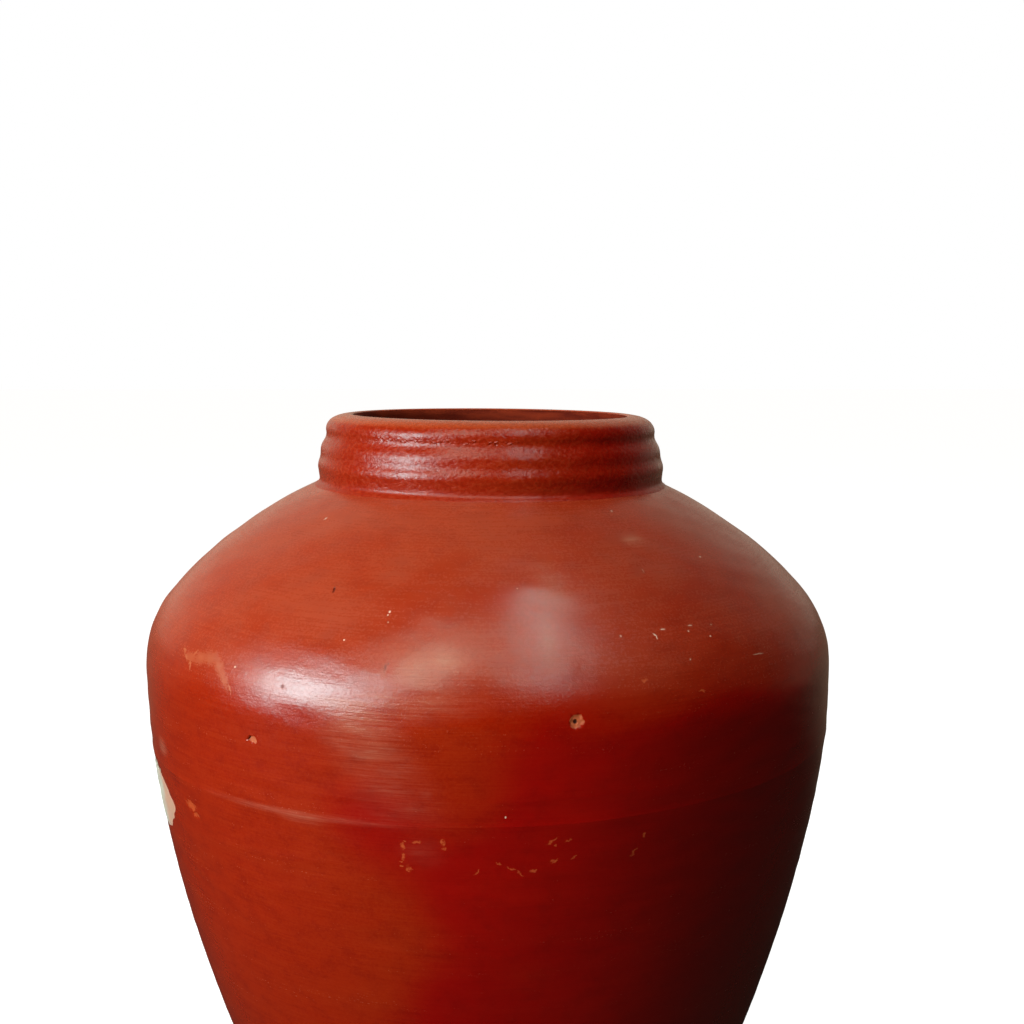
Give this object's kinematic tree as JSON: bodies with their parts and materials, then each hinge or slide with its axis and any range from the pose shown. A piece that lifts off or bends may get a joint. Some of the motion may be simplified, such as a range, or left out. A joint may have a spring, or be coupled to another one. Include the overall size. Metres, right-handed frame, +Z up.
{
  "type": "terracotta water jar",
  "caption": "Large round-shouldered terracotta water jar with a short ribbed neck, a thick rounded lip and a tapering foot, in red burnished slip.",
  "frame": {"origin": "centre of the foot's underside, on the surface that the jar stands on", "axes": "+Z up along the jar's axis; -Y is the side that the picture shows; +X is to the right there"},
  "size_m": [0.4059, 0.406, 0.48],
  "materials": {
    "red_slip": "burnished brick-red slip over terracotta, semi-gloss, with fine burnishing lines, scuffs and pits",
    "bare_terracotta": "bare fired clay, matt, smoothed by hand",
    "lime_filler": "dry off-white filler, matt and slightly grainy"
  },
  "bodies": {
    "root": {"base_slab": "red_slip", "base_coil": "bare_terracotta", "lower_wall": "red_slip", "filler_patch": "lime_filler", "seam_coil": "red_slip", "inner_seam_coil": "bare_terracotta", "shoulder_wall": "red_slip", "lower_neck_coil": "red_slip", "upper_neck_coil": "red_slip", "lip_coil": "red_slip"}
  },
  "joints": []
}
